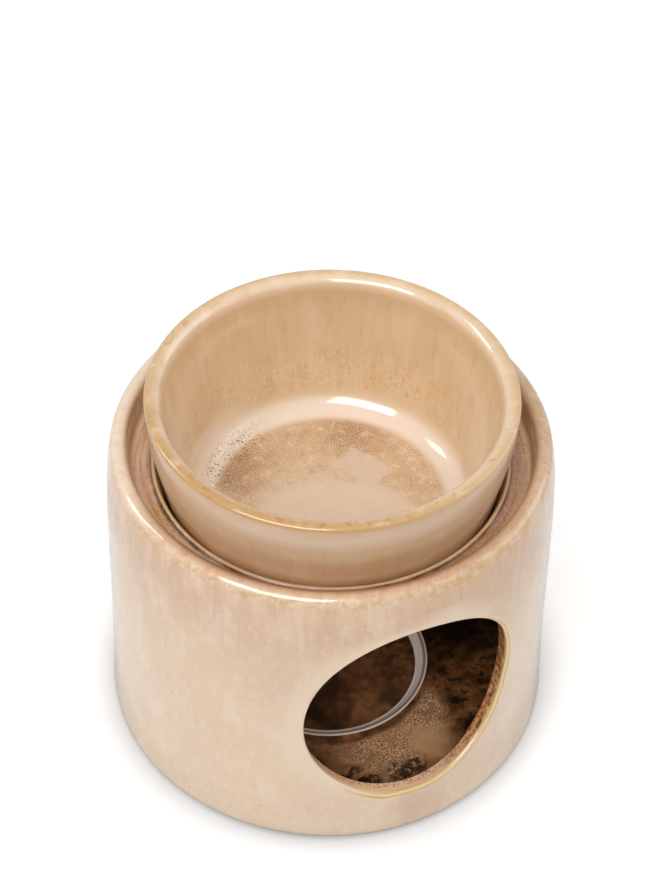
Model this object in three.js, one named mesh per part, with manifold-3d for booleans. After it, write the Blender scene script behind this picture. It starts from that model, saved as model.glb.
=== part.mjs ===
// Stoneware oil burner: a drum-shaped burner body with a window for the tealight,
// a loose dish for the oil that hangs in the body's throat, and a low clear tray
// on the chamber floor. Millimetres, +Z up, origin at the centre of the foot,
// window towards -Y.

import * as THREE from 'three';
import { mergeVertices } from 'three/addons/utils/BufferGeometryUtils.js';
import Module from 'manifold-3d';

const wasm = await Module();
wasm.setup();

const DEG = Math.PI / 180;
const FULL_TURN = 2 * Math.PI;
const HALF_TURN = Math.PI;
const QUARTER_TURN = Math.PI / 2;

// Gap between two pieces that touch on the real object
const CLEARANCE = 0.3;

// Burner body, outside: a drum that is widest at its heel and draws in up to the lip
const BODY_HEIGHT = 81.8;
const HEEL_RADIUS = 53.1;
const HEEL_ROUND = 3;
const WAIST_DRAW_IN = 0.75;
const WAIST_HEIGHT = 15;
const MIDDLE_DRAW_IN = 1.2;
const MIDDLE_HEIGHT = 44;
const SHOULDER_DRAW_IN = 2;
const SHOULDER_DROP = 9.3;
const LIP_DRAW_IN = 3.1;
const LIP_THICKNESS = 4.1;
const FOOT_WIDTH = 10.1;
const FOOT_RECESS = 0.8;

// Burner body, inside
const WALL = 4.2;
const CHAMBER_FLOOR = 3.9;
const CHAMBER_FLOOR_ROUND = 5;
const CHAMBER_TOP_ROUND = 1;
const LEDGE_DEPTH = 7.6;
const LEDGE_WIDTH = 4.75;
const LEDGE_ROUND = 1.2;
const FLANGE = 3.6;

// Collar that stands round the mouth of the throat
const COLLAR_WIDTH = 1.1;
const COLLAR_HEIGHT = 0.9;

// Tapered seat under the collar, where the dish hangs
const SEAT_STEP_IN = 1.25;
const SEAT_HEIGHT = 1.8;
const SEAT_LEAD_IN = 1.2;

// Window cut straight through the wall, a leaning oval
const WINDOW_HALF_WIDTH = 24.5;
const WINDOW_HALF_HEIGHT = 27.3;
const WINDOW_CENTRE = 41.4;
const WINDOW_LEAN = 11 * DEG;
const WINDOW_SQUARENESS = 2.1;
const WINDOW_POINTS = 48;

// Dish
const DISH_TAPER = Math.tan(10.3 * DEG);
const DISH_RIM_ABOVE_SEAT = 24.2;
const DISH_BASE_BELOW_SEAT = 14.6;
const DISH_RIM_THICKNESS = 3.4;
const DISH_RIM_OUTER_ROUND = 0.9;
const DISH_RIM_INNER_ROUND = 2.3;
const DISH_BAND_HEIGHT = 7.2;
const DISH_BAND_FLARE = 0.3;
const DISH_BAND_ROUND = 6;
const DISH_INNER_TAPER = Math.tan(11.1 * DEG);
const DISH_FLOOR = 4;
const DISH_FLOOR_ROUND = 6.3;
const DISH_HEEL_ROUND = 6.5;
const DISH_FOOT_RADIUS = 24;
const DISH_FOOT_RECESS = 0.8;

// Clear tray
const TRAY_RADIUS = 25;
const TRAY_HEIGHT = 2.7;
const TRAY_WALL = 0.9;
const TRAY_BASE_RADIUS = 23.1;
const TRAY_INNER_RADIUS = 22.3;
const TRAY_SHIFT = { x: -1, y: -2.4 };

// Facets round each turned piece
const BODY_SIDES = 64;
const DISH_SIDES = 56;
const TRAY_SIDES = 40;
const ARC_STEP = 22 * DEG;
const RIM_STEPS = 7;
const BEAD_STEPS = 4;
const WALL_STEPS = 9;

// Points closer than this are one point
const SAME_POINT = 1e-4;

// A turned outline is a list of corners [radius, height, round]. Each rounded
// corner becomes an arc that touches both of its straight sides.
function roundCorners(corners) {
  const outline = [];
  corners.forEach(([r, z, round], i) => {
    const corner = new THREE.Vector2(r, z);
    if (!round) {
      outline.push(corner);
      return;
    }
    const [before, after] = [corners[i - 1], corners[i + 1]].map(([pr, pz]) =>
      new THREE.Vector2(pr, pz).sub(corner).normalize());
    const halfAngle = Math.acos(THREE.MathUtils.clamp(before.dot(after), -1, 1)) / 2;
    const centre = before.clone().add(after).normalize()
      .multiplyScalar(round / Math.sin(halfAngle)).add(corner);
    const touch = round / Math.tan(halfAngle);
    const from = before.multiplyScalar(touch).add(corner).sub(centre);
    const to = after.multiplyScalar(touch).add(corner).sub(centre);
    let sweep = to.angle() - from.angle();
    if (sweep > HALF_TURN) sweep -= FULL_TURN;
    if (sweep < -HALF_TURN) sweep += FULL_TURN;
    const steps = Math.max(2, Math.ceil(Math.abs(sweep) / ARC_STEP));
    for (let step = 0; step <= steps; step += 1) {
      outline.push(from.clone().rotateAround(new THREE.Vector2(), (sweep * step) / steps).add(centre));
    }
  });
  return outline;
}

// Half circle over the top of an edge, from its outer side to its inner side
function halfRound(radius, height, thickness, steps) {
  const points = [];
  for (let step = 0; step <= steps; step += 1) {
    const angle = (HALF_TURN * step) / steps;
    points.push([
      radius + (thickness / 2) * Math.cos(angle),
      height + (thickness / 2) * Math.sin(angle),
    ]);
  }
  return points;
}

// The outline is turned about Z; it runs up the outside and down the inside
function turn(outline, sides) {
  const geometry = new THREE.LatheGeometry(outline, sides);
  geometry.rotateX(QUARTER_TURN);
  geometry.deleteAttribute('normal');
  geometry.deleteAttribute('uv');
  return mergeVertices(geometry, SAME_POINT);
}

function toSolid(geometry) {
  return new wasm.Manifold(new wasm.Mesh({
    numProp: 3,
    vertProperties: new Float32Array(geometry.attributes.position.array),
    triVerts: new Uint32Array(geometry.index.array),
  }));
}

function toGeometry(solid) {
  const mesh = solid.getMesh();
  const geometry = new THREE.BufferGeometry();
  geometry.setAttribute('position', new THREE.BufferAttribute(mesh.vertProperties, 3));
  geometry.setIndex(new THREE.BufferAttribute(mesh.triVerts, 1));
  return geometry;
}

function piece(name, geometry, look) {
  geometry.computeVertexNormals();
  const mesh = new THREE.Mesh(geometry, new THREE.MeshStandardMaterial(look));
  mesh.name = name;
  return mesh;
}

// Widths of the drum, all drawn in from its heel
const waistRadius = HEEL_RADIUS - WAIST_DRAW_IN;
const middleRadius = HEEL_RADIUS - MIDDLE_DRAW_IN;
const shoulderRadius = HEEL_RADIUS - SHOULDER_DRAW_IN;
const lipRadius = HEEL_RADIUS - LIP_DRAW_IN;
const footInner = HEEL_RADIUS - FOOT_WIDTH;

// Widths inside the lip: ledge, collar and seat follow each other inwards
const lipInner = lipRadius - LIP_THICKNESS;
const collarOuter = lipInner - LEDGE_WIDTH;
const collarInner = collarOuter - COLLAR_WIDTH;
const seatRadius = collarInner - SEAT_STEP_IN;

// Heights that both the body and the dish use
const ledgeHeight = BODY_HEIGHT - LEDGE_DEPTH;
const flangeUnderside = ledgeHeight - FLANGE;
const seatTop = flangeUnderside + SEAT_HEIGHT;

// The seat follows the dish's taper, and the dish hangs one clearance inside it
const seatRadiusAt = (height) => seatRadius + (height - flangeUnderside) * DISH_TAPER;
const dishRadiusAt = (height) => seatRadiusAt(height) - CLEARANCE;

// Outer wall: one smooth curve through heel, waist, middle, shoulder and lip
const lipCentre = BODY_HEIGHT - LIP_THICKNESS / 2;
const wallCurve = new THREE.CatmullRomCurve3([
  new THREE.Vector3(HEEL_RADIUS, HEEL_ROUND, 0),
  new THREE.Vector3(waistRadius, WAIST_HEIGHT, 0),
  new THREE.Vector3(middleRadius, MIDDLE_HEIGHT, 0),
  new THREE.Vector3(shoulderRadius, BODY_HEIGHT - SHOULDER_DROP, 0),
  new THREE.Vector3(lipRadius, lipCentre, 0),
], false, 'centripetal');

function outerWall(steps) {
  return wallCurve.getPoints(steps).map((point) => [point.x, point.y]);
}

function bodyOutline() {
  const outside = outerWall(WALL_STEPS);
  const lip = halfRound(lipRadius - LIP_THICKNESS / 2, lipCentre, LIP_THICKNESS, RIM_STEPS);
  const collarTop = ledgeHeight + COLLAR_HEIGHT - COLLAR_WIDTH / 2;
  const collar = halfRound(collarOuter - COLLAR_WIDTH / 2, collarTop, COLLAR_WIDTH, BEAD_STEPS);
  // Height of the cone that leads the dish down into the seat
  const leadInTop = seatTop + SEAT_LEAD_IN;
  return roundCorners([
    [0, FOOT_RECESS],
    [footInner - FOOT_RECESS, FOOT_RECESS],
    [footInner, 0],
    [HEEL_RADIUS, 0, HEEL_ROUND],
    ...outside.slice(1, -1),
    ...lip,
    [lipInner, ledgeHeight, LEDGE_ROUND],
    [collarOuter, ledgeHeight],
    ...collar,
    [collarInner, leadInTop],
    [seatRadiusAt(seatTop), seatTop],
    [seatRadiusAt(flangeUnderside), flangeUnderside],
    [shoulderRadius - WALL, flangeUnderside, CHAMBER_TOP_ROUND],
    [middleRadius - WALL, MIDDLE_HEIGHT],
    [HEEL_RADIUS - WALL, CHAMBER_FLOOR, CHAMBER_FLOOR_ROUND],
    [0, CHAMBER_FLOOR],
  ]);
}

// Leaning oval, pushed straight through the front wall
function windowCutter() {
  const oval = new THREE.Shape();
  for (let i = 0; i < WINDOW_POINTS; i += 1) {
    const angle = (FULL_TURN * i) / WINDOW_POINTS;
    const [cosine, sine] = [Math.cos(angle), Math.sin(angle)];
    const across = WINDOW_HALF_WIDTH * Math.sign(cosine) * Math.abs(cosine) ** (2 / WINDOW_SQUARENESS);
    const up = WINDOW_HALF_HEIGHT * Math.sign(sine) * Math.abs(sine) ** (2 / WINDOW_SQUARENESS);
    const point = new THREE.Vector2(across, up).rotateAround(new THREE.Vector2(), -WINDOW_LEAN);
    if (i === 0) oval.moveTo(point.x, point.y);
    else oval.lineTo(point.x, point.y);
  }
  oval.closePath();
  const start = HEEL_RADIUS / 2;
  const depth = HEEL_RADIUS + WALL - start;
  const cutter = new THREE.ExtrudeGeometry(oval, { depth, bevelEnabled: false });
  cutter.rotateX(QUARTER_TURN);
  cutter.translate(0, -start, WINDOW_CENTRE);
  cutter.deleteAttribute('normal');
  cutter.deleteAttribute('uv');
  return mergeVertices(cutter, SAME_POINT);
}

function burnerBody() {
  const turned = toSolid(turn(bodyOutline(), BODY_SIDES));
  return toGeometry(turned.subtract(toSolid(windowCutter())));
}

// The dish flares up to a nearly upright band under its flat rim
function dishOutline() {
  const rim = flangeUnderside + DISH_RIM_ABOVE_SEAT;
  const bandFoot = rim - DISH_BAND_HEIGHT;
  const base = flangeUnderside - DISH_BASE_BELOW_SEAT;
  const floor = base + DISH_FLOOR;
  const rimRadius = dishRadiusAt(bandFoot) + DISH_BAND_FLARE;
  const innerAtRim = rimRadius - DISH_RIM_THICKNESS;
  const innerAtFloor = innerAtRim - (rim - floor) * DISH_INNER_TAPER;
  return roundCorners([
    [0, base + DISH_FOOT_RECESS],
    [DISH_FOOT_RADIUS - DISH_FOOT_RECESS, base + DISH_FOOT_RECESS],
    [DISH_FOOT_RADIUS, base],
    [dishRadiusAt(base), base, DISH_HEEL_ROUND],
    [dishRadiusAt(bandFoot), bandFoot, DISH_BAND_ROUND],
    [rimRadius, rim, DISH_RIM_OUTER_ROUND],
    [innerAtRim, rim, DISH_RIM_INNER_ROUND],
    [innerAtFloor, floor, DISH_FLOOR_ROUND],
    [0, floor],
  ]);
}

function trayOutline() {
  const base = CHAMBER_FLOOR + CLEARANCE;
  const rim = base + TRAY_HEIGHT - TRAY_WALL / 2;
  return roundCorners([
    [0, base],
    [TRAY_BASE_RADIUS, base, TRAY_WALL / 2],
    ...halfRound(TRAY_RADIUS - TRAY_WALL / 2, rim, TRAY_WALL, BEAD_STEPS),
    [TRAY_INNER_RADIUS, base + TRAY_WALL, TRAY_WALL / 2],
    [0, base + TRAY_WALL],
  ]);
}

const oilBurner = new THREE.Group();
oilBurner.add(piece('burner_body', burnerBody(), { color: '#cfb391', roughness: 0.3, metalness: 0 }));
oilBurner.add(piece('oil_dish', turn(dishOutline(), DISH_SIDES), {
  color: '#d3b187',
  roughness: 0.25,
  metalness: 0,
}));

const tray = piece('tealight_tray', turn(trayOutline(), TRAY_SIDES), {
  color: '#dfe3e0',
  roughness: 0.05,
  metalness: 0,
  transparent: true,
  opacity: 0.4,
});
tray.position.set(TRAY_SHIFT.x, TRAY_SHIFT.y, 0);
oilBurner.add(tray);

export default oilBurner;
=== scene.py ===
import math

import bmesh
import bpy
from mathutils import Matrix, Vector


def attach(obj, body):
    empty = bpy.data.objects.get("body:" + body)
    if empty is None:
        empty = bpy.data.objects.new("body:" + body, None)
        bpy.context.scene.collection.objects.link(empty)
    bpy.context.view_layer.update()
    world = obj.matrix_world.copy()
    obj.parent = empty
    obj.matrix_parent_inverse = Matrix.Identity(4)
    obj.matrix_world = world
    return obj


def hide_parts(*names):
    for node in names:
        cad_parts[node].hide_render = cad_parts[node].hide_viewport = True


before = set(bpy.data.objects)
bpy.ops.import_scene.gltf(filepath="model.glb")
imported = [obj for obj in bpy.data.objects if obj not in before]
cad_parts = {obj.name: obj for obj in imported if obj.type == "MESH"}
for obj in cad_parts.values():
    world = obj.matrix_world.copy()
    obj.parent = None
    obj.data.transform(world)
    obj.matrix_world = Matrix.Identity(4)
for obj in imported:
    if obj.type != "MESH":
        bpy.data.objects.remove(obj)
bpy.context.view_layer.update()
scene = bpy.context.scene


# Camera. The photograph looks down on the burner from 48 degrees, with the window
# turned to the right of the lens. Its place and length were fitted to the round
# edges of the foot, lip and dish.

CAMERA_PLACE = (-0.146195, -0.336635, 0.444635)
CAMERA_HEADING = math.radians(-23.6)
CAMERA_TILT = math.radians(44.995)
CAMERA_ROLL = math.radians(1.329)

camera = bpy.data.objects.new("camera", bpy.data.cameras.new("camera"))
camera.data.sensor_fit = "VERTICAL"
camera.data.sensor_height = 24
camera.data.lens = 61.553
camera.data.clip_start = 0.01
camera.matrix_world = (
    Matrix.Translation(CAMERA_PLACE)
    @ Matrix.Rotation(CAMERA_HEADING, 4, "Z")
    @ Matrix.Rotation(CAMERA_TILT, 4, "X")
    @ Matrix.Rotation(CAMERA_ROLL, 4, "Z"))
scene.collection.objects.link(camera)
scene.camera = camera


# Floor. A seamless sheet of matt white card under the burner. The camera sees it
# lifted to white, and it still takes the burner's soft shadow, with a shade line where
# the foot meets it that an occlusion node darkens into its colour.

floor_mesh = bpy.data.meshes.new("floor")
sheet = bmesh.new()
bmesh.ops.create_circle(sheet, cap_ends=True, segments=96, radius=3)
sheet.to_mesh(floor_mesh)
sheet.free()
floor = bpy.data.objects.new("floor", floor_mesh)
scene.collection.objects.link(floor)

card = bpy.data.materials.new("white_card")
card.use_nodes = True
card_nodes = card.node_tree.nodes
card_paper = card_nodes["Principled BSDF"]
card_paper.inputs["Roughness"].default_value = 0.9
card_paper.inputs["Specular IOR Level"].default_value = 0
card_paper.inputs["Emission Color"].default_value = (1, 1, 1, 1)
card_seen = card_nodes.new("ShaderNodeLightPath")
card_lift = card_nodes.new("ShaderNodeMath")
card_lift.operation = "MULTIPLY"
card_lift.inputs[1].default_value = 0.27
card_contact_shade = card_nodes.new("ShaderNodeAmbientOcclusion")
card_contact_shade.inputs["Distance"].default_value = 0.010
card_grey = card_nodes.new("ShaderNodeMapRange")
card_grey.inputs["To Min"].default_value = 0.12
card_grey.inputs["To Max"].default_value = 0.86
card_links = card.node_tree.links
card_links.new(card_contact_shade.outputs["AO"], card_grey.inputs["Value"])
card_links.new(card_grey.outputs[0], card_paper.inputs["Base Color"])
card_links.new(card_seen.outputs["Is Camera Ray"], card_lift.inputs[0])
card_links.new(card_lift.outputs[0], card_paper.inputs["Emission Strength"])
floor_mesh.materials.append(card)


# Light. A pale room all round, a large softbox to the left of the camera that draws
# the bright lines on the lip and in the dish, and paler sheets left, right and above.

room = bpy.data.worlds.new("room")
room.use_nodes = True
scene.world = room
room_nodes = room.node_tree.nodes
room_links = room.node_tree.links
room_sky = room_nodes["Background"]
room_sky.inputs["Color"].default_value = (1, 1, 1, 1)
room_rays = room_nodes.new("ShaderNodeLightPath")
room_seen = room_nodes.new("ShaderNodeMath")
room_seen.operation = "MAXIMUM"
room_links.new(room_rays.outputs["Is Camera Ray"], room_seen.inputs[0])
room_links.new(room_rays.outputs["Is Transmission Ray"], room_seen.inputs[1])
room_mirrored = room_nodes.new("ShaderNodeMath")
room_mirrored.operation = "MAXIMUM"
room_links.new(room_seen.outputs[0], room_mirrored.inputs[0])
room_links.new(room_rays.outputs["Is Glossy Ray"], room_mirrored.inputs[1])
room_strength = room_nodes.new("ShaderNodeMapRange")
room_strength.inputs["To Min"].default_value = 0.42
room_strength.inputs["To Max"].default_value = 1
room_links.new(room_mirrored.outputs[0], room_strength.inputs["Value"])
room_links.new(room_strength.outputs[0], room_sky.inputs["Strength"])


def softbox(name, heading, height, distance, size, power, lights=True, mirrored=True):
    """A soft rectangular lamp that faces the middle of the burner.

    One that lights but isn't mirrored shades the clay, and one that is mirrored
    but doesn't light only draws its shape in the glaze."""
    lamp = bpy.data.lights.new(name, "AREA")
    lamp.shape = "RECTANGLE"
    lamp.size, lamp.size_y = size
    lamp.energy = power
    holder = bpy.data.objects.new(name, lamp)
    holder.visible_diffuse = lights
    holder.visible_glossy = mirrored
    aim = Vector((0, 0, 0.05))
    turn = Matrix.Rotation(math.radians(heading), 4, "Z")
    tilt = Matrix.Rotation(math.radians(90 - height), 4, "X")
    holder.matrix_world = Matrix.Translation(aim) @ turn @ tilt @ Matrix.Translation((0, 0, distance))
    scene.collection.objects.link(holder)


softbox("front_light", heading=-38, height=46, distance=1.6, size=(1.3, 1.0), power=14, mirrored=False)
softbox("front_shine", heading=-50.6, height=41, distance=1.6, size=(1.25, 0.8), power=32, lights=False)
softbox("left_sheet", heading=-125, height=25, distance=1.7, size=(1.2, 1.2), power=7, mirrored=False)
softbox("left_shine", heading=-131, height=37, distance=1.6, size=(0.3, 0.8), power=6, lights=False)
softbox("right_sheet", heading=78, height=28, distance=1.7, size=(1.3, 1.3), power=8)
softbox("ceiling", heading=0, height=89, distance=1.8, size=(1.6, 1.6), power=5)


# Burner body. One thrown and glazed piece of stoneware: wall, rounded lip, ledge with
# a thin collar round the throat, floor and foot. The window is cut through the wall
# before firing, and its edges are sponged round.

MM = 0.001

# Heights and radii in millimetres, as on the finished pot
BODY_HEIGHT = 81.8
LIP_INNER = 45.9
LEDGE = 74.2
COLLAR_TOP = 75.1
COLLAR_OUTER = 41.15
COLLAR_INNER = 40.05
SEAT_TOP = 72.4
SEAT_FOOT = 70.6
CHAMBER_FLOOR = 3.9
FOOT_RECESS = 0.8
FOOT_INNER = 43
HEEL = 52.9
WALL = 4.2

# The window is a leaning oval, a little squarer than an ellipse
WINDOW_HALF_WIDTH = 24.5
WINDOW_HALF_HEIGHT = 27.3
WINDOW_SQUARENESS = 2.1
WINDOW_LEAN = math.radians(-11)
WINDOW_CENTRE = 41.4
OUTER_EDGE = 1.0
INNER_EDGE = 0.5

# The pierced stretch of the wall, outside and inside
OUTSIDE_LOW, OUTSIDE_HIGH = 8, 74
INSIDE_LOW, INSIDE_HIGH = 9.5, 69.6

# Steps round the pot, up its back, and from the window's edge round to the back
SIDES = 192
BACK_POINTS = 22
OUTER_LOOPS = 45
INNER_LOOPS = 26

# Marks that the glazes read: no window near, and where the chamber's run starts
FAR_FROM_WINDOW = 60
CHAMBER_RUN = 200


def new_mesh():
    mesh = bmesh.new()
    mesh.verts.layers.float.new("run")
    mesh.verts.layers.float.new("window_edge")
    return mesh


def turned(corners, sides, run_start=0.0):
    """Draws a turned outline, rounds its corners and spins it about the axis.

    A corner is (radius, height, reach); reach is how far its rounding goes along
    the sides. Every point keeps its distance along the outline, as 'run'."""
    mesh = new_mesh()
    run = mesh.verts.layers.float["run"]
    window_edge = mesh.verts.layers.float["window_edge"]
    points = [mesh.verts.new((0, radius * MM, height * MM)) for radius, height, _ in corners]
    for low, high in zip(points, points[1:]):
        mesh.edges.new((low, high))
    for point, (_, _, reach) in zip(points, corners):
        if reach:
            bmesh.ops.bevel(mesh, geom=[point], offset=reach * MM, offset_type="OFFSET",
                            affect="VERTICES", segments=8 if reach > 1 else 4,
                            profile=0.5, material=-1)
    at, came_by, distance = points[0], None, run_start
    while at:
        at[run] = distance
        at[window_edge] = FAR_FROM_WINDOW
        onward = [edge for edge in at.link_edges if edge != came_by]
        came_by = onward[0] if onward else None
        following = came_by.other_vert(at) if came_by else None
        distance += came_by.calc_length() / MM if came_by else 0
        at = following
    bmesh.ops.spin(mesh, geom=mesh.verts[:] + mesh.edges[:], cent=(0, 0, 0), axis=(0, 0, 1),
                   angle=2 * math.pi, steps=sides, use_merge=True)
    return mesh


def finish_piece(meshes, name):
    """Joins the parts, closes seams and poles, and turns every face outwards."""
    whole = new_mesh()
    for mesh in meshes:
        part = bpy.data.meshes.new("part")
        mesh.to_mesh(part)
        mesh.free()
        whole.from_mesh(part)
        bpy.data.meshes.remove(part)
    bmesh.ops.remove_doubles(whole, verts=whole.verts, dist=0.004 * MM)
    bmesh.ops.dissolve_degenerate(whole, edges=whole.edges, dist=0.001 * MM)
    bmesh.ops.recalc_face_normals(whole, faces=whole.faces)
    for face in whole.faces:
        face.smooth = True
    data = bpy.data.meshes.new(name)
    whole.to_mesh(data)
    whole.free()
    piece = bpy.data.objects.new(name, data)
    scene.collection.objects.link(piece)
    return piece


def eased(knots, height):
    """Radius of a smooth wall at a height, through (height, radius) knots."""
    for index in range(len(knots) - 1):
        if height <= knots[index + 1][0] or index == len(knots) - 2:
            break

    def slope(at):
        before, after = knots[max(at - 1, 0)], knots[min(at + 1, len(knots) - 1)]
        return (after[1] - before[1]) / (after[0] - before[0])

    (z0, r0), (z1, r1) = knots[index], knots[index + 1]
    span = z1 - z0
    t = (height - z0) / span
    return (r0 * (1 + 2 * t) * (1 - t) ** 2 + r1 * t * t * (3 - 2 * t)
            + span * t * (1 - t) * (slope(index) * (1 - t) - slope(index + 1) * t))


def outer_radius(height):
    return eased([(3, 52.96), (15, 52.35), (30, 52.05), (44, 51.9), (60, 51.6),
                  (72.5, 51.05), (77, 50.55), (80, 49.95)], height)


def inner_radius(height):
    return eased([(4, 48.9), (44, 47.7), (71, 46.9)], height)


def window_point(angle, grow):
    """Across and up, in millimetres, on the leaning oval grown by a few tenths."""
    def squared(value, power):
        return math.copysign(abs(value) ** power, value)

    across = squared(math.cos(angle), 2 / WINDOW_SQUARENESS)
    up = squared(math.sin(angle), 2 / WINDOW_SQUARENESS)
    outward = Vector((squared(across, WINDOW_SQUARENESS - 1) / WINDOW_HALF_WIDTH,
                      squared(up, WINDOW_SQUARENESS - 1) / WINDOW_HALF_HEIGHT)).normalized()
    point = Vector((across * WINDOW_HALF_WIDTH, up * WINDOW_HALF_HEIGHT)) + outward * grow
    return Matrix.Rotation(WINDOW_LEAN, 2) @ point + Vector((0, WINDOW_CENTRE))


def window_frame(low, high):
    """Where each point of the window's loop ends on the unrolled wall."""
    around = [-math.pi + 2 * math.pi * step / SIDES for step in range(SIDES + 1)]
    rise = [low + (high - low) * (step + 1) / (BACK_POINTS + 1) for step in range(BACK_POINTS)]
    return ([(turn, high) for turn in around] + [(math.pi, z) for z in reversed(rise)]
            + [(turn, low) for turn in reversed(around)] + [(-math.pi, z) for z in rise])


def loop_angles():
    """The angle on the oval that each point of a loop goes out from."""
    count = 2 * (SIDES + 1) + 2 * BACK_POINTS
    first = math.pi - math.pi * (BACK_POINTS + 1) / count
    return [first - 2 * math.pi * step / count for step in range(count)]


def wall_place(across_angle, height, radius):
    """A point on a round wall, by its angle from the front."""
    return Vector((radius * math.sin(across_angle), -radius * math.cos(across_angle), height)) * MM


def wall_loops():
    """Loops of points from the back of the outer wall, through the window, to the
    back of the chamber's wall. Each is (places, distance from the window's edge)."""
    angles = loop_angles()
    outer_frame = window_frame(OUTSIDE_LOW, OUTSIDE_HIGH)
    inner_frame = window_frame(INSIDE_LOW, INSIDE_HIGH)
    loops = []

    def spread(frame_points, grow, radius_at, share):
        """A loop on the wall, part of the way from the window's edge to its frame."""
        places = []
        for angle, (turn, height) in zip(angles, frame_points):
            across, up = window_point(angle, grow)
            start = math.asin(across / radius_at(up))
            at = start + (turn - start) * share
            z = up + (height - up) * share
            places.append(wall_place(at, z, radius_at(z)))
        return places

    def cut(grow, radius_at, depth):
        """A loop through the window's opening, at a depth under a wall's face."""
        places = []
        for angle in angles:
            across, up = window_point(angle, grow)
            radius = radius_at(up) - depth
            places.append(wall_place(math.asin(across / radius), up, radius))
        return places

    # Outer wall, with its loops closer together towards the window
    for step in range(OUTER_LOOPS - 1, -1, -1):
        share = (step / (OUTER_LOOPS - 1)) ** 1.7
        loops.append((spread(outer_frame, OUTER_EDGE, outer_radius, share), 0))

    # Rounded outer edge, straight cut, rounded inner edge
    edge_steps, cut_steps, inner_steps = 6, 6, 3
    for step in range(1, edge_steps + 1):
        bend = math.pi / 2 * step / edge_steps
        loops.append((cut(OUTER_EDGE * (1 - math.sin(bend)), outer_radius,
                          OUTER_EDGE * (1 - math.cos(bend))), -OUTER_EDGE * bend))
    edge_run = 1.6
    for step in range(1, cut_steps + 1):
        share = step / cut_steps
        places = []
        for angle in angles:
            across, up = window_point(angle, 0)
            start = outer_radius(up) - OUTER_EDGE
            end = inner_radius(up) + INNER_EDGE
            radius = start + (end - start) * share
            places.append(wall_place(math.asin(across / radius), up, radius))
        loops.append((places, -edge_run - (WALL - edge_run) * share))
    for step in range(1, inner_steps + 1):
        bend = math.pi / 2 * step / inner_steps
        loops.append((cut(INNER_EDGE * (1 - math.cos(bend)), inner_radius,
                          -INNER_EDGE * (1 - math.sin(bend))), -WALL - INNER_EDGE * bend))

    # Chamber wall, out to the back again
    for step in range(1, INNER_LOOPS + 1):
        share = (step / INNER_LOOPS) ** 1.5
        loops.append((spread(inner_frame, INNER_EDGE, inner_radius, share), -FAR_FROM_WINDOW))
    return loops


# The pierced wall grows from one ring of edges, extruded from loop to loop
wall = new_mesh()
run_layer = wall.verts.layers.float["run"]
window_layer = wall.verts.layers.float["window_edge"]
wall_radius = 52
hole_edge = [window_point(angle, OUTER_EDGE) for angle in loop_angles()]
ring = bmesh.ops.create_circle(wall, segments=len(hole_edge), radius=0.1)["verts"]
edges = wall.edges[:]
for number, (places, to_edge) in enumerate(wall_loops()):
    if number:
        grown = bmesh.ops.extrude_edge_only(wall, edges=edges)["geom"]
        fresh = {item for item in grown if isinstance(item, bmesh.types.BMVert)}
        edges = [item for item in grown if isinstance(item, bmesh.types.BMEdge)
                 and item.verts[0] in fresh and item.verts[1] in fresh]
        ring = [next(edge.other_vert(old) for edge in old.link_edges if edge.other_vert(old) in fresh)
                for old in ring]
    for vert, place, start in zip(ring, places, hole_edge):
        vert.co = place
        vert[run_layer] = place.z / MM
        vert[window_layer] = to_edge
        if number < OUTER_LOOPS:
            across = math.atan2(place.x, -place.y) - math.asin(start.x / wall_radius)
            vert[window_layer] = math.hypot(across * wall_radius, place.z / MM - start.y)

# Shoulder, lip, inner face of the lip, ledge, collar, throat and seat
upper = turned([
    *[(outer_radius(height), height, 0) for height in (OUTSIDE_HIGH, 75.5, 77, 78.3)],
    (49.62, BODY_HEIGHT, 2.0),
    (46.05, BODY_HEIGHT - 0.3, 1.56),
    (LIP_INNER, LEDGE, 1.2),
    (COLLAR_OUTER, LEDGE, 0.12),
    (COLLAR_OUTER, COLLAR_TOP, 0.5),
    (COLLAR_INNER, COLLAR_TOP, 0.5),
    (COLLAR_INNER, SEAT_TOP + 1.2, 0.3),
    (39.13, SEAT_TOP, 0.3),
    (38.8, SEAT_FOOT, 0.4),
    (46.95, SEAT_FOOT, 0.85),
    (inner_radius(INSIDE_HIGH), INSIDE_HIGH, 0),
], SIDES, run_start=OUTSIDE_HIGH)

# Chamber floor with its rounded corner
chamber_floor = turned([
    (inner_radius(INSIDE_LOW), INSIDE_LOW, 0),
    (inner_radius(9.2), 9.2, 0),
    (48.75, CHAMBER_FLOOR, 4.6),
    *[(radius, CHAMBER_FLOOR, 0) for radius in (30, 12, 0)],
], SIDES, run_start=CHAMBER_RUN)

# Underside, foot and heel
foot = turned([
    (0, FOOT_RECESS, 0),
    (20, FOOT_RECESS, 0),
    (FOOT_INNER - FOOT_RECESS, FOOT_RECESS, 0.3),
    (FOOT_INNER, 0, 0.3),
    (HEEL, 0, 2.6),
    *[(outer_radius(height), height, 0) for height in (3.4, 4.5, 6, OUTSIDE_LOW)],
], SIDES, run_start=-60)
burner = finish_piece([wall, upper, chamber_floor, foot], "stoneware_body")


def linear(red, green, blue):
    """A colour as it looks on a screen, 0 to 255, made ready for a shader."""
    def channel(value):
        value /= 255
        return value / 12.92 if value <= 0.04045 else ((value + 0.055) / 1.055) ** 2.4
    return channel(red), channel(green), channel(blue), 1.0


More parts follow.
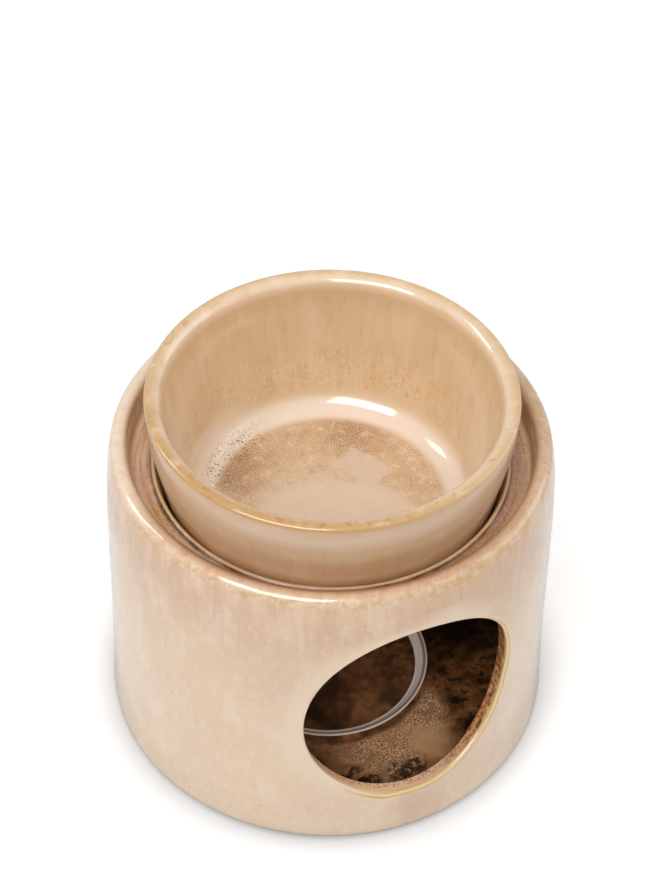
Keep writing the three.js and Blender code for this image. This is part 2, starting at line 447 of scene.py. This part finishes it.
class Glaze:
    """A fired glaze: its node material, and short ways to add to it."""

    def __init__(self, name):
        self.material = bpy.data.materials.new(name)
        self.material.use_nodes = True
        self.tree = self.material.node_tree
        self.surface = self.tree.nodes["Principled BSDF"]
        self.place = self.tree.nodes.new("ShaderNodeTexCoord").outputs["Object"]
        split = self.add("ShaderNodeSeparateXYZ", {"Vector": self.place})
        self.x, self.y, self.z = split.outputs
        self.colour = None

    def feed(self, socket, value):
        """Links a value that comes from a node, or sets a plain one."""
        if isinstance(value, bpy.types.NodeSocket):
            self.tree.links.new(value, socket)
        else:
            socket.default_value = value

    def add(self, kind, inputs, **settings):
        """A new node with its settings and its inputs."""
        node = self.tree.nodes.new(kind)
        for name, value in settings.items():
            setattr(node, name, value)
        for name, value in inputs.items():
            self.feed(node.inputs[name], value)
        return node

    def calc(self, operation, first, second=0.0):
        return self.add("ShaderNodeMath", {0: first, 1: second}, operation=operation).outputs[0]

    def times(self, first, *more):
        for value in more:
            first = self.calc("MULTIPLY", first, value)
        return first

    def between(self, value, low, high, at_low=0.0, at_high=1.0):
        """Smooth step from at_low to at_high while value goes from low to high."""
        node = self.add("ShaderNodeMapRange",
                        {"Value": value, "From Min": low, "From Max": high,
                         "To Min": at_low, "To Max": at_high}, interpolation_type="SMOOTHSTEP")
        return node.outputs[0]

    def band(self, value, start, full, still_full, end):
        """1 while value is between full and still_full, 0 outside start and end."""
        return self.times(self.between(value, start, full), self.between(value, end, still_full))

    def attribute(self, name):
        return self.add("ShaderNodeAttribute", {}, attribute_name=name).outputs["Fac"]

    def noise(self, across, up=None, detail=3.0, roughness=0.5, offset=(0, 0, 0)):
        """Noise whose grains have these sizes in millimetres, across and up."""
        grain = (1000 / across, 1000 / across, 1000 / (up or across))
        stretched = self.add("ShaderNodeMapping",
                             {"Vector": self.place, "Location": offset, "Scale": grain}).outputs[0]
        return self.add("ShaderNodeTexNoise", {"Vector": stretched, "Scale": 1.0, "Detail": detail,
                                               "Roughness": roughness}).outputs["Fac"]

    def ringed(self, run, across, along):
        """Noise drawn out round the axis, for what the potter's wheel leaves."""
        place = self.add("ShaderNodeCombineXYZ", {"X": self.calc("MULTIPLY", self.x, 1000 / along),
                                                  "Y": self.calc("MULTIPLY", self.y, 1000 / along),
                                                  "Z": self.calc("DIVIDE", run, across)}).outputs[0]
        return self.add("ShaderNodeTexNoise",
                        {"Vector": place, "Scale": 1.0, "Detail": 3.0}).outputs["Fac"]

    def spot(self, x, y, z, inner, outer, ragged=5.0):
        """1 near a place in millimetres, 0 beyond the outer reach, with a ragged edge."""
        apart = self.add("ShaderNodeVectorMath", {0: self.place, 1: (x * MM, y * MM, z * MM)},
                         operation="DISTANCE").outputs["Value"]
        wander = self.calc("SUBTRACT", self.noise(4, 4, detail=4, offset=(7, 7, 7)), 0.5)
        reach = self.calc("ADD", self.calc("MULTIPLY", apart, 1000),
                          self.calc("MULTIPLY", wander, 2 * ragged))
        return self.between(reach, outer, inner)

    def ramp(self, value, stops, low=0.0, high=1.0):
        """Colour along a value; each stop is (value, colour)."""
        node = self.add("ShaderNodeValToRGB", {"Fac": self.add(
            "ShaderNodeMapRange", {"Value": value, "From Min": low, "From Max": high}).outputs[0]})
        band = node.color_ramp
        band.elements.remove(band.elements[1])
        for number, (at, colour) in enumerate(stops):
            share = (at - low) / (high - low)
            element = band.elements[0] if number == 0 else band.elements.new(share)
            element.position = share
            element.color = linear(*colour)
        return node.outputs["Color"]

    def lay(self, colour, *shares):
        """Lays a colour over what is there, as far as all the shares together go."""
        node = self.add("ShaderNodeMix", {}, data_type="RGBA")
        self.feed(node.inputs[0], self.times(*shares))
        self.feed(node.inputs[6], self.colour)
        self.feed(node.inputs[7], linear(*colour))
        self.colour = node.outputs[2]

    def gloss(self, roughness, height=None, depth=0.1, coat=1.0, coat_roughness=0.05):
        """Joins colour, roughness and a fine relief in millimetres to the surface."""
        self.feed(self.surface.inputs["Base Color"], self.colour)
        self.feed(self.surface.inputs["Roughness"], roughness)
        self.surface.inputs["Specular IOR Level"].default_value = 0.2
        self.surface.inputs["Coat Weight"].default_value = coat
        self.surface.inputs["Coat Roughness"].default_value = coat_roughness
        self.surface.inputs["Coat IOR"].default_value = 1.5
        if height is not None:
            relief = self.add("ShaderNodeBump", {"Height": height, "Distance": depth * MM,
                                                 "Strength": 1.0}).outputs[0]
            self.feed(self.surface.inputs["Normal"], relief)
            self.feed(self.surface.inputs["Coat Normal"], relief)


# The outside glaze changes with the run up the wall, over the lip and down to the seat
outside = Glaze("beige_reactive_glaze")
run = outside.attribute("run")
to_window = outside.attribute("window_edge")
outside.colour = outside.ramp(run, [
    (-9, (222, 199, 173)),
    (2, (217, 193, 166)),
    (20, (217, 191, 163)),
    (45, (217, 190, 161)),
    (60, (212, 183, 153)),
    (70, (203, 170, 140)),
    (75, (203, 169, 138)),
    (78.6, (206, 171, 135)),
    (80.6, (214, 182, 144)),
    (82, (224, 196, 162)),
    (83.4, (226, 200, 168)),
    (84.1, (220, 190, 154)),
    (84.7, (202, 166, 128)),
    (85.4, (174, 128, 86)),
    (86.3, (150, 100, 60)),
    (90, (148, 98, 58)),
    (90.9, (214, 170, 124)),
    (91.8, (250, 212, 166)),
    (92.8, (246, 206, 156)),
    (93.6, (230, 172, 104)),
    (95, (222, 160, 92)),
    # Painted shade: the crevice at the collar's foot is made near black
    (95.45, (50, 24, 6)),
    (96.25, (54, 26, 8)),
    (96.5, (228, 184, 118)),
    (97.1, (230, 190, 130)),
    (97.7, (214, 170, 110)),
    (98.4, (170, 124, 78)),
    (99.4, (128, 88, 56)),
    (112, (92, 62, 42)),
], low=-10, high=112)

# Clouds and mottles over the wall, faint runs that hang from the lip, crazing lines,
# a few pits, and one pinkish patch below the window
clouds = outside.noise(26, 32, detail=3, offset=(7, 2, 5))
outside.lay((210, 177, 155), outside.between(clouds, 0.46, 0.68, 0, 0.45))
drifts = outside.noise(12, 17, detail=4, roughness=0.6, offset=(3, 1, 2))
outside.lay((228, 208, 185), outside.between(drifts, 0.48, 0.7, 0, 0.45))
mottles = outside.noise(2.2, 3.6, detail=5, roughness=0.68, offset=(1, 5, 2))
outside.lay((203, 170, 143), outside.between(mottles, 0.5, 0.72, 0, 0.26))
outside.lay((232, 214, 192), outside.between(mottles, 0.48, 0.32, 0, 0.24))
under_lip = outside.between(run, 46, 74)
fine_runs = outside.noise(1.6, 17, detail=4)
outside.lay((190, 152, 120), under_lip, outside.between(fine_runs, 0.49, 0.72, 0, 0.34))
wide_runs = outside.noise(4, 26, detail=3, offset=(2, 4, 1))
outside.lay((226, 200, 172), under_lip, outside.between(wide_runs, 0.5, 0.7, 0, 0.32))
hairs = outside.noise(5, 8, detail=5, roughness=0.7, offset=(9, 3, 4))
on_hair = outside.between(outside.calc("ABSOLUTE", outside.calc("SUBTRACT", hairs, 0.5)), 0.014, 0)
outside.lay((190, 154, 126), on_hair, outside.between(drifts, 0.53, 0.44, 0, 0.34))
pits = outside.noise(1.1, 1.1, detail=1, offset=(8, 8, 1))
outside.lay((140, 96, 68), outside.between(pits, 0.77, 0.8, 0, 0.5))
outside.lay((182, 145, 124), outside.spot(2, -52, 8.5, 2, 11, 5), 0.4)

# How far a point lies towards the camera, and to the camera's right. The factors hold
# the direction and turn metres into millimetres. The wall under the lip is a little
# browner to the right.
forward = outside.calc("ADD", outside.times(outside.x, -400), outside.times(outside.y, -916))
rightward = outside.calc("ADD", outside.times(outside.x, 916), outside.times(outside.y, -400))
outside.lay((188, 150, 120), under_lip, outside.between(rightward, 4, 44), 0.3)

# Lip: pale at the left, a painted light where the side lamps fall on it, with a chain
# of soft golden tan dabs to the right, and a painted shade on its inner slope at the front,
# where it faces away from the light
patches = outside.noise(3.4, 2.4, detail=3, offset=(1, 6, 3))
lip_arc = outside.band(run, 77.6, 79.6, 82.6, 84.2)
outside.lay((198, 154, 102), lip_arc, outside.between(patches, 0.49, 0.58, 0, 0.46))
outside.lay((196, 152, 100), lip_arc, outside.between(rightward, 0, 30),
            outside.between(patches, 0.44, 0.54, 0, 0.5))
dabs = outside.noise(1.2, 1.2, detail=3, offset=(4, 9, 3))
outside.lay((234, 212, 178), lip_arc, outside.between(dabs, 0.52, 0.68, 0, 0.36))
# Painted light: the lip is paler at the left, where the side lamps fall on it
outside.lay((242, 224, 202), outside.between(rightward, -28, -46),
            outside.band(run, 79.8, 81.6, 83.6, 84.8), 0.5)
# Painted shade: the lip's inner slope at the front is browner, darkest at its inner edge
outside.lay((182, 120, 68), outside.between(forward, 10, 40),
            outside.band(run, 80.8, 82.6, 85.2, 86), 0.6)
outside.lay((92, 44, 12), outside.between(forward, 18, 44),
            outside.band(run, 82.2, 84.3, 85.1, 86), 0.88)
outside.lay((190, 152, 116), outside.between(rightward, 10, 40),
            outside.band(run, 79.6, 82, 84, 85.4), 0.4)
outside.lay((190, 146, 104), outside.band(run, 84.6, 86, 90.6, 91.6),
            outside.between(patches, 0.5, 0.7, 0, 0.4))

# Ledge: tan streaks from the wheel, and grains, most at the right. The right side is
# browner too, a painted shade where the dish keeps the light off it
ledge = outside.band(run, 91.2, 92.4, 95.1, 95.7)
grains = outside.noise(0.5, 0.5, detail=3, offset=(2, 2, 9))
wheel_marks = outside.ringed(run, 0.8, 16)
outside.lay((158, 102, 56), ledge, outside.between(wheel_marks, 0.5, 0.66, 0, 0.45))
outside.lay((244, 206, 156), ledge, outside.between(wheel_marks, 0.46, 0.36, 0, 0.4))
# Painted shade on the right side of the ledge
outside.lay((160, 108, 62), ledge, outside.between(rightward, 0, 40),
            outside.between(run, 91.6, 94.6, 0.2, 0.6))
outside.lay((128, 80, 42), ledge, outside.between(grains, 0.5, 0.66, 0, 0.36),
            outside.between(rightward, -30, 20, 0.3, 1))
outside.lay((240, 198, 146), ledge, outside.between(grains, 0.46, 0.34, 0, 0.3))

# Window: pale round its upper side, and gold on the edge below and at the right. The
# cut face is peach with brown scribbles at the left, brown and lumpy at the right. Its
# peach at the left is painted lighter, a painted light against the shade it lies in.
over_centre = outside.calc("SUBTRACT", outside.z, WINDOW_CENTRE * MM)
below_right = outside.calc("SUBTRACT", outside.calc("MULTIPLY", outside.x, 800),
                           outside.calc("MULTIPLY", over_centre, 600))
gold_side = outside.between(below_right, -3, 9)
pale_side = outside.between(below_right, 8, -6)
outside.lay((224, 203, 177), pale_side, outside.between(to_window, 8, 0.5, 0, 0.7))
in_cut = outside.between(to_window, -1.2, -1.9)
to_right = outside.between(outside.x, 0.004, 0.020)
outside.lay((224, 184, 150), in_cut)
scribbles = outside.noise(0.6, 0.4, detail=4, roughness=0.65, offset=(5, 5, 1))
# Painted light: the cut face at the left is lightened against the shade it lies in
outside.lay((250, 200, 156), in_cut, outside.between(outside.x, 0.006, -0.012), 0.9)
outside.lay((132, 84, 56), outside.between(to_window, -1.9, -3.2),
            outside.between(scribbles, 0.5, 0.57, 0, 0.7))
outside.lay((196, 128, 74), in_cut, to_right, 0.85)
cut_lumps = outside.noise(1.2, 1.2, detail=4, roughness=0.65, offset=(5, 1, 4))
outside.lay((84, 42, 20), in_cut, to_right, outside.between(cut_lumps, 0.48, 0.58, 0, 0.78))
outside.lay((244, 206, 164), in_cut, to_right, outside.between(cut_lumps, 0.46, 0.36, 0, 0.6))
outside.lay((140, 84, 54), outside.between(to_window, -4, -4.6, 0, 0.7))
wobble = outside.noise(8, 8, detail=3, offset=(3, 3, 3))
edge_wander = outside.calc("ADD", to_window, outside.between(wobble, 0.3, 0.7, -0.24, 0.24))
outside.lay((222, 194, 152), gold_side, outside.band(to_window, 0.9, 0.2, -1.5, -1.9), 0.7)
outside.lay((198, 154, 62), gold_side, outside.band(edge_wander, 0.45, 0.15, -0.1, -0.4), 0.85)
outside.lay((206, 160, 78), gold_side, outside.band(edge_wander, -0.75, -1, -1.25, -1.6), 0.8)

# Soft waves left by the hand, and a faint orange peel
waves = outside.calc("ADD", outside.noise(14, 20, detail=1, offset=(1, 1, 7)),
                     outside.times(outside.noise(1.6, 2.4, detail=2), 0.06))
outside.gloss(outside.between(clouds, 0.3, 0.7, 0.3, 0.42),
              outside.calc("ADD", waves, outside.times(grains, ledge, 0.12)), depth=0.5)

# The chamber's glaze is brown, with black where it pooled
chamber = Glaze("dark_chamber_glaze")
chamber.colour = chamber.ramp(chamber.noise(6, 6, detail=5, roughness=0.6), [
    (0.34, (72, 42, 20)),
    (0.46, (106, 69, 38)),
    (0.54, (138, 90, 52)),
    (0.66, (182, 124, 78)),
], low=0.3, high=0.7)

# Black mottling gathers at the right, and a painted shade makes the far right corner
# near black, where the window's light doesn't reach
blots = chamber.noise(2, 2, detail=5, roughness=0.62, offset=(4, 1, 1))
right_side = chamber.between(chamber.x, 0.004, 0.026, 0.4, 1)
chamber.lay((30, 18, 12), right_side, chamber.between(blots, 0.52, 0.6, 0, 0.75))
big_blots = chamber.noise(5, 5, detail=5, roughness=0.65, offset=(2, 7, 3))
chamber.lay((26, 16, 10), right_side, chamber.between(big_blots, 0.55, 0.65, 0, 0.62))
# Painted shade: the far right corner of the chamber darkened nearly to black
chamber.lay((20, 12, 8), chamber.between(chamber.x, 0.012, 0.032),
            chamber.between(chamber.y, -0.022, -0.006), 0.85)

# Sandy crystals lie on the floor before the tray, amber to their right, black pools
# along the sill
TRAY_X, TRAY_Y = -1, -2.4
low_down = chamber.between(chamber.z, 0.009, 0.0045)
under_tray = chamber.spot(TRAY_X, TRAY_Y, CHAMBER_FLOOR, 24.6, 26.4, 0.4)
open_floor = chamber.calc("SUBTRACT", low_down, under_tray)
crystals = chamber.noise(0.4, 0.4, detail=3, offset=(4, 1, 1))
drift = chamber.between(chamber.noise(4, 4, detail=4, offset=(5, 2, 1)), 0.36, 0.56, 0.35, 1)
front_sand = chamber.spot(1, -31, CHAMBER_FLOOR, 5, 13, 4)
right_sand = chamber.spot(13, -25, CHAMBER_FLOOR, 4, 11, 4)
sand = chamber.times(open_floor, drift, chamber.calc("MAXIMUM", front_sand, right_sand))
chamber.lay((206, 150, 106), open_floor, chamber.spot(2, -34, CHAMBER_FLOOR, 9, 22, 5), 0.6)
chamber.lay((222, 164, 118), sand, 0.85)
chamber.lay((255, 228, 182), sand, chamber.between(crystals, 0.53, 0.61, 0, 0.8))
chamber.lay((92, 58, 36), sand, chamber.between(crystals, 0.49, 0.41, 0, 0.75))
chamber.lay((230, 180, 130), open_floor, chamber.spot(13, -34, CHAMBER_FLOOR, 2, 8, 4), 0.6)
pools = [(-9, -37.5, 4.5), (-4.5, -39, 3), (2.5, -40, 4), (7, -39, 3.5), (24, -25, 3), (-17, -31, 4)]
for x, y, reach in pools:
    pool = chamber.spot(x, y, CHAMBER_FLOOR, reach * 0.5, reach * 1.15, 2)
    chamber.lay((22, 22, 16), low_down, pool, chamber.between(blots, 0.43, 0.52), 0.88)
chamber.gloss(0.32, chamber.noise(2.4, 2.4, detail=3), depth=0.25)

# The foot ring stands on bare clay
clay = Glaze("bare_stoneware")
grog = clay.noise(0.7, 0.7, detail=3)
clay.colour = clay.ramp(grog, [(0.35, (208, 186, 158)), (0.7, (178, 152, 122))], low=0.3, high=0.8)
clay.gloss(0.8, grog, depth=0.08, coat=0.0)

for glaze in (outside, chamber, clay):
    burner.data.materials.append(glaze.material)

# Beyond the throat and the window's cut comes the chamber's glaze, and the foot is bare
THROAT_END = 102
CUT_END = -4.25
BARE_HEIGHT = 0.6
BARE_REACH = 50.5
runs_along = burner.data.attributes["run"].data
edge_along = burner.data.attributes["window_edge"].data
for polygon in burner.data.polygons:
    run_value = sum(runs_along[v].value for v in polygon.vertices) / len(polygon.vertices)
    edge_value = min(edge_along[v].value for v in polygon.vertices)
    centre = polygon.center / MM
    if run_value >= CHAMBER_RUN or edge_value < CUT_END or (run_value > THROAT_END and edge_value > 0):
        polygon.material_index = 1
    elif centre.z < BARE_HEIGHT and math.hypot(centre.x, centre.y) < BARE_REACH:
        polygon.material_index = 2
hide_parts("burner_body")
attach(burner, "burner")


# Oil dish. A loose thrown bowl with a flat rim over an upright band and a rounded
# inner corner, glazed all over but for its foot. It hangs by its taper in the throat.

DISH_RIM = 94.8
DISH_FLOOR = 60
DISH_BASE = 56
DISH_FOOT = 24
DISH_SIDES = 160

bowl = finish_piece([turned([
    (0, DISH_BASE + FOOT_RECESS, 0),
    (12, DISH_BASE + FOOT_RECESS, 0),
    (DISH_FOOT - FOOT_RECESS, DISH_BASE + FOOT_RECESS, 0.3),
    (DISH_FOOT, DISH_BASE, 0.3),
    (35.85, DISH_BASE, 5.3),
    (38.4, 70, 0),
    (40.2, 80, 0),
    (41.59, 87.6, 0.45),
    (41.89, DISH_RIM, 0.86),
    (38.49, DISH_RIM, 1.9),
    (37.13, 88, 0),
    (35.56, 80, 0),
    (33.6, 70, 0),
    (31.67, DISH_FLOOR, 5.2),
    *[(radius, DISH_FLOOR, 0) for radius in (18, 8, 0)],
], DISH_SIDES)], "stoneware_dish")

# The dish's glaze changes with the run, from the middle of its foot, up the outside,
# over the rim and down to the middle of its floor
tan = Glaze("tan_reactive_glaze")
dish_run = tan.attribute("run")
tan.colour = tan.ramp(dish_run, [
    (0, (206, 178, 148)),
    (36, (168, 128, 94)),
    # Painted light: the outer wall just above the collar is lifted pale against the shade of the throat
    (49, (240, 200, 154)),
    (53.4, (244, 206, 160)),
    (56, (220, 182, 144)),
    (59, (216, 180, 144)),
    (64, (216, 184, 148)),
    (72.4, (196, 164, 132)),
    (73.1, (200, 162, 118)),
    (73.9, (212, 176, 128)),
    (75.2, (222, 192, 154)),
    (76.6, (230, 204, 174)),
    (78, (224, 195, 162)),
    (79.6, (206, 174, 134)),
    (84, (213, 182, 142)),
    (94, (214, 184, 146)),
    (101, (218, 190, 152)),
    (107.4, (220, 192, 156)),
    # Painted reflection, in part: the pale cream of the rounded corner
    (109.6, (234, 214, 192)),
    (113.4, (235, 216, 195)),
    (115.4, (212, 180, 144)),
    (120, (210, 177, 140)),
    (130, (222, 194, 160)),
    (141, (228, 202, 170)),
], low=0, high=142)

# Runs down both walls, and a golden drift in the glaze
walls = tan.calc("ADD", tan.band(dish_run, 40, 46, 65, 67), tan.band(dish_run, 78, 82, 105, 108))
runs = tan.noise(1.8, 19, detail=4)
tan.lay((190, 150, 106), walls, tan.between(runs, 0.5, 0.72, 0, 0.3))
broad_runs = tan.noise(6, 26, detail=3, offset=(2, 5, 1))
tan.lay((230, 206, 172), walls, tan.between(broad_runs, 0.5, 0.7, 0, 0.35))
gold_drift = tan.noise(11, 13, detail=4, offset=(8, 5, 1))
tan.lay((204, 168, 120), walls, tan.between(gold_drift, 0.48, 0.68, 0, 0.4))

# Rim: gold along its outer edge at the front left, with a few burnt dabs, and pale and
# tan patches on top. The band under it is greyer than the wall, down to a wavering edge.
# front_left is how many millimetres a point lies to the front left.
front_left = tan.calc("ADD", tan.times(tan.x, -805), tan.times(tan.y, -593))
rim_dabs = tan.noise(2.6, 1.8, detail=3, offset=(6, 2, 4))
rim_gold = tan.band(dish_run, 72, 73, 74.6, 77)
tan.lay((190, 144, 78), rim_gold, tan.between(front_left, 4, 40, 0.12, 0.85))
tan.lay((172, 112, 60), rim_gold, tan.between(rim_dabs, 0.58, 0.68, 0, 0.55),
        tan.between(front_left, -30, 10))
rim_top = tan.band(dish_run, 73, 74, 77.6, 79)
rim_patches = tan.noise(5, 5, detail=4, offset=(9, 4, 2))
tan.lay((204, 166, 118), rim_top, tan.between(rim_patches, 0.48, 0.32, 0, 0.35))
tan.lay((234, 210, 186), rim_top, tan.between(rim_patches, 0.5, 0.68, 0, 0.4))
wavering = tan.between(tan.noise(12, 12, detail=3, offset=(3, 3, 8)), 0.35, 0.65, -0.8, 0.8)
band_run = tan.calc("SUBTRACT", tan.calc("ADD", dish_run, wavering),
                    tan.between(front_left, -4, -30, 0, 1.6))
tan.lay((206, 178, 151), tan.band(band_run, 65.9, 66.7, 69.4, 72.2), 0.8)

# Golden crystals thicken low on the back wall, with a few orange ones among them
sparks = tan.noise(0.45, 0.8, detail=3, offset=(5, 1, 6))
crystal_wall = tan.times(tan.band(dish_run, 88, 101, 104.6, 107), tan.between(tan.y, -0.008, 0.018))
tan.lay((238, 212, 172), crystal_wall, tan.between(sparks, 0.52, 0.66, 0, 0.4))
tan.lay((190, 146, 100), crystal_wall, tan.between(sparks, 0.46, 0.36, 0, 0.22))
embers = tan.noise(1.6, 2.2, detail=2, offset=(1, 9, 2))
tan.lay((214, 150, 96), crystal_wall, tan.between(embers, 0.6, 0.7, 0, 0.5))

# Pale glaze in the rounded corner, palest at the left, lightened further as a painted
# reflection of the soft light that the corner catches
tan.lay((240, 221, 200), tan.band(dish_run, 102, 106.5, 113, 115),
        tan.between(tan.x, -0.002, -0.022), 0.85)

# Floor: sandy grains, brown at the left and at the back right, pale and smooth in front
on_floor = tan.between(dish_run, 113.8, 116)
grit = tan.noise(0.38, 0.38, detail=3, offset=(1, 3, 1))
browner = tan.calc("MAXIMUM", tan.spot(-18, 18, DISH_FLOOR, 2, 13, 6),
                   tan.spot(14, 19, DISH_FLOOR, 2, 12, 7))
tan.lay((172, 130, 90), on_floor, browner, 0.62)
clots = tan.noise(3, 3, detail=4, roughness=0.6, offset=(6, 3, 1))
tan.lay((190, 148, 106), on_floor, tan.between(clots, 0.5, 0.66, 0, 0.45))
tan.lay((236, 214, 184), on_floor, tan.between(clots, 0.46, 0.34, 0, 0.5))
tan.lay((240, 218, 188), on_floor, tan.between(grit, 0.52, 0.66, 0, 0.5))
tan.lay((146, 106, 74), on_floor, tan.between(grit, 0.48, 0.38, 0, 0.55),
        tan.between(browner, 0, 1, 0.4, 1))
tan.lay((232, 208, 182), on_floor, tan.spot(-7, -20, DISH_FLOOR, 24, 31, 4), 0.8)

# A painted reflection of a lamp: a pale patch with soft straight sides, about 12 by
# 7.5 mm, right of the floor's middle
reflection_place = tan.add("ShaderNodeMapping", {"Vector": tan.place,
                                            "Location": (-0.0114, -0.0072, 0)}).outputs[0]
reflection_turned = tan.add("ShaderNodeVectorRotate", {"Vector": reflection_place,
                                                  "Angle": math.radians(60)}).outputs[0]
reflection_along, reflection_across, _ = tan.add("ShaderNodeSeparateXYZ", {"Vector": reflection_turned}).outputs
reflection_sides = tan.calc("MAXIMUM", tan.calc("ABSOLUTE", tan.times(reflection_along, 165)),
                       tan.calc("ABSOLUTE", tan.times(reflection_across, 265)))
reflection_reach = tan.calc("ADD", reflection_sides,
                       tan.times(tan.noise(1.4, 1.4, detail=4, offset=(2, 2, 2)), 0.7))
tan.lay((226, 203, 186), on_floor, tan.between(reflection_reach, 1.5, 1.2, 0, 0.65))

# Dark specks where the floor meets the corner at the back left
specks = tan.noise(0.55, 0.55, detail=3, roughness=0.6, offset=(3, 8, 1))
speck_drift = tan.noise(5, 5, detail=2, offset=(1, 1, 5))
tan.lay((78, 46, 22), tan.band(dish_run, 109.6, 111.4, 115.6, 119),
        tan.spot(-16, 21, DISH_FLOOR, 5, 15, 5), tan.between(specks, 0.54, 0.6, 0, 0.8),
        tan.between(speck_drift, 0.36, 0.52))
tan.gloss(0.32, tan.calc("ADD", tan.noise(12, 16, detail=1), tan.times(grit, on_floor, 0.05)), depth=0.4)

bowl.data.materials.append(tan.material)
bowl.data.materials.append(clay.material)
bare_reach = DISH_FOOT + 2.5
bare_top = DISH_BASE + 1.2
for polygon in bowl.data.polygons:
    centre = polygon.center / MM
    if centre.z < bare_top and math.hypot(centre.x, centre.y) < bare_reach:
        polygon.material_index = 1
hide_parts("oil_dish")
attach(bowl, "dish")


# Clear tray. A low pressed glass saucer with an upright wall, which lies loose on the
# chamber floor and holds the tealight.

TRAY_BASE = 4.2
TRAY_FLOOR = 5.1
TRAY_RIM = 6.9
TRAY_RADIUS = 25
TRAY_WALL = 0.9
TRAY_SIDES = 128

pressed = turned([
    (0, TRAY_BASE, 0),
    (10, TRAY_BASE, 0),
    (23.1, TRAY_BASE, 0.4),
    (TRAY_RADIUS, TRAY_RIM, 0.42),
    (TRAY_RADIUS - TRAY_WALL, TRAY_RIM, 0.42),
    (22.3, TRAY_FLOOR, 0.4),
    (10, TRAY_FLOOR, 0),
    (0, TRAY_FLOOR, 0),
], TRAY_SIDES)
bmesh.ops.translate(pressed, verts=pressed.verts, vec=(TRAY_X * MM, TRAY_Y * MM, 0))
saucer = finish_piece([pressed], "clear_tray")

# The wall is painted with pale bands and a dark line along the rim, standing in for the
# reflections the glass shows, and is given a faint painted glow
glass = Glaze("clear_glass_wall")
glass.colour = glass.ramp(glass.attribute("run"), [
    (23, (150, 132, 120)),
    (25.4, (120, 100, 88)),
    (25.8, (120, 100, 88)),
    (26.15, (240, 226, 210)),
    (26.45, (240, 226, 210)),
    (26.75, (96, 78, 66)),
    (27.2, (96, 78, 66)),
    (27.5, (252, 238, 230)),
    (29.6, (252, 238, 230)),
], low=22, high=31)
glass.gloss(0.25, coat=1.0)
# Painted glow: a faint emission stands in for light carried through the glass
glass.surface.inputs["Emission Color"].default_value = linear(255, 222, 200)
glass.surface.inputs["Emission Strength"].default_value = 0.09
saucer.data.materials.append(glass.material)

# The base is clear, so the brown floor shows through it
glass_base = Glaze("clear_glass_base")
glass_base.colour = (0.95, 0.95, 0.95, 1)
glass_base.gloss(0.15, coat=0.0)
glass_base.surface.inputs["Transmission Weight"].default_value = 1
glass_base.surface.inputs["IOR"].default_value = 1.5
saucer.data.materials.append(glass_base.material)
CLEAR_REACH = 21.5
for polygon in saucer.data.polygons:
    centre = polygon.center / MM
    if math.hypot(centre.x - TRAY_X, centre.y - TRAY_Y) < CLEAR_REACH:
        polygon.material_index = 1
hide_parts("tealight_tray")
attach(saucer, "tray")


scene.view_settings.view_transform = "Standard"
